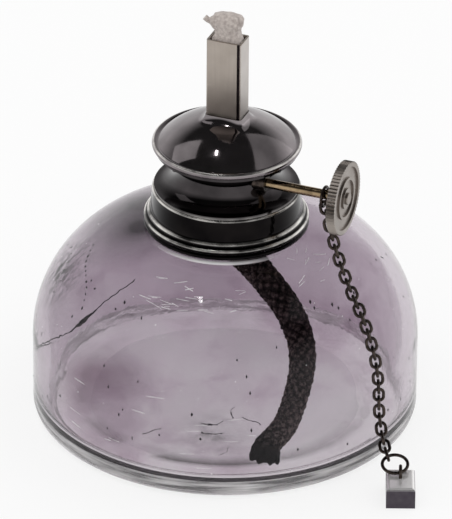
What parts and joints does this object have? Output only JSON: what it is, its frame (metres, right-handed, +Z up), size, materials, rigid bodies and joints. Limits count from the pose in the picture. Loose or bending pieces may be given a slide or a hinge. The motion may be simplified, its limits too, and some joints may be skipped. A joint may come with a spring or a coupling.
{
  "type": "alcohol lamp",
  "caption": "Small bench spirit lamp: round glass font, screw-on burner with a flat wick, a thumbwheel that raises the wick, and a snuffer cap on a chain.",
  "frame": {"origin": "centre of the glass base, on the table", "axes": "+Z up along the lamp's axis, +X along the wick raiser's shaft towards the thumbwheel"},
  "size_m": [0.1091, 0.095, 0.1089],
  "materials": {
    "clear_glass": "clear, faintly lavender, slightly rippled",
    "black_nickel": "polished, dark",
    "satin_nickel": "satin, warm grey",
    "shaft_brass": "worn nickel over brass",
    "brass": "plain",
    "bright_steel": "bright",
    "chain_steel": "dark, oiled",
    "bright_nickel": "polished",
    "pale_cotton": "frayed",
    "dark_cotton": "braided, soaked",
    "fibre_washer": "pressed fibre"
  },
  "bodies": {
    "font": {"glass_font": "clear_glass"},
    "gasket": {"collar_gasket": "fibre_washer"},
    "burner": {"screw_collar": "black_nickel", "burner_spool": "black_nickel", "burner_dome": "black_nickel", "tube_plate": "brass", "wick_tube": "satin_nickel", "shaft_bush": "brass", "shaft_bearing": "brass", "wick_tail": "dark_cotton"},
    "raiser": {"raiser_shaft": "shaft_brass", "spur_wheels": "brass", "shaft_clip": "bright_steel", "thumbwheel": "satin_nickel", "thumbwheel_rivet": "satin_nickel"},
    "wick": {"wick": "pale_cotton"},
    "chain_top": {"chain_loop": "chain_steel", "chain_link_01": "chain_steel", "chain_link_02": "chain_steel", "chain_link_03": "chain_steel", "chain_link_04": "chain_steel", "chain_link_05": "chain_steel", "chain_link_06": "chain_steel", "chain_link_07": "chain_steel", "chain_link_08": "chain_steel", "chain_link_09": "chain_steel", "chain_link_10": "chain_steel", "chain_link_11": "chain_steel", "chain_link_12": "chain_steel", "chain_link_13": "chain_steel"},
    "chain_middle": {"chain_link_14": "chain_steel", "chain_link_15": "chain_steel", "chain_link_16": "chain_steel", "chain_link_17": "chain_steel", "chain_link_18": "chain_steel", "chain_link_19": "chain_steel"},
    "chain_low": {"chain_link_20": "chain_steel", "chain_link_21": "chain_steel", "chain_link_22": "chain_steel", "chain_link_23": "chain_steel", "chain_link_24": "chain_steel", "chain_link_25": "chain_steel"},
    "chain_end": {"chain_link_26": "chain_steel", "chain_link_27": "chain_steel", "chain_link_28": "chain_steel", "chain_link_29": "chain_steel", "chain_link_30": "chain_steel"},
    "ring": {"jump_ring": "chain_steel"},
    "cap": {"snuffer_cap": "bright_nickel", "cap_eye": "chain_steel"}
  },
  "joints": [
    {"name": "burner_lift", "type": "slide", "parent": "font", "child": "gasket", "axis": [0, 0, 1], "range_m": [0, 0.0045]},
    {"name": "burner_turn", "type": "hinge", "parent": "gasket", "child": "burner", "pos_m": [0, 0, 0.055], "axis": [0, 0, 1], "range_deg": [-0.3, 540.3]},
    {"name": "knob_turn", "type": "hinge", "parent": "burner", "child": "raiser", "pos_m": [0, -0.0058, 0.0673], "axis": [1, 0, 0], "range_deg": [-45.3, 100.3]},
    {"name": "wick_raise", "type": "slide", "parent": "burner", "child": "wick", "axis": [0, 0, 1], "range_m": [-0.00267, 0.00593], "deforming": ["wick_tail"]},
    {"name": "chain_swing", "type": "hinge", "parent": "burner", "child": "chain_top", "pos_m": [0.0277, -0.0058, 0.0673], "axis": [1, 0, 0], "range_deg": [-20, 0]},
    {"name": "chain_pull", "type": "hinge", "parent": "chain_top", "child": "chain_middle", "pos_m": [0.04016, -0.01271, 0.04011], "axis": [-0.4848, -0.8746, 0], "range_deg": [0, 28.12]},
    {"name": "chain_low_bend", "type": "hinge", "parent": "chain_middle", "child": "chain_low", "pos_m": [0.04537, -0.01559, 0.02836], "axis": [-0.4287, -0.9029, 0.0318], "range_deg": [-0.5, 19.36]},
    {"name": "chain_end_bend", "type": "hinge", "parent": "chain_low", "child": "chain_end", "pos_m": [0.04684, -0.01676, 0.01529], "axis": [0.8135, 0.5802, 0.0402], "range_deg": [-0.5, 35.3]},
    {"name": "ring_tilt", "type": "hinge", "parent": "chain_end", "child": "ring", "pos_m": [0.05092, -0.02228, 0.00748], "axis": [0.4927, 0.8542, 0.1664], "range_deg": [-0.5, 18.5]},
    {"name": "cap_tip", "type": "hinge", "parent": "ring", "child": "cap", "pos_m": [0.0558, -0.02578, 0.00613], "axis": [-0.6998, -0.7059, -0.1094], "range_deg": [-0.5, 4.75]}
  ],
  "couplings": [
    {"joint": "burner_turn", "follows": "burner_lift", "rad_per_m": 2094.4},
    {"joint": "knob_turn", "follows": "wick_raise", "rad_per_m": 294.12},
    {"joint": "chain_low_bend", "follows": "chain_pull", "ratio": 0.67065},
    {"joint": "chain_end_bend", "follows": "chain_pull", "ratio": 1.2376},
    {"joint": "ring_tilt", "follows": "chain_pull", "ratio": 0.6401},
    {"joint": "cap_tip", "follows": "chain_pull", "ratio": 0.15113}
  ]
}
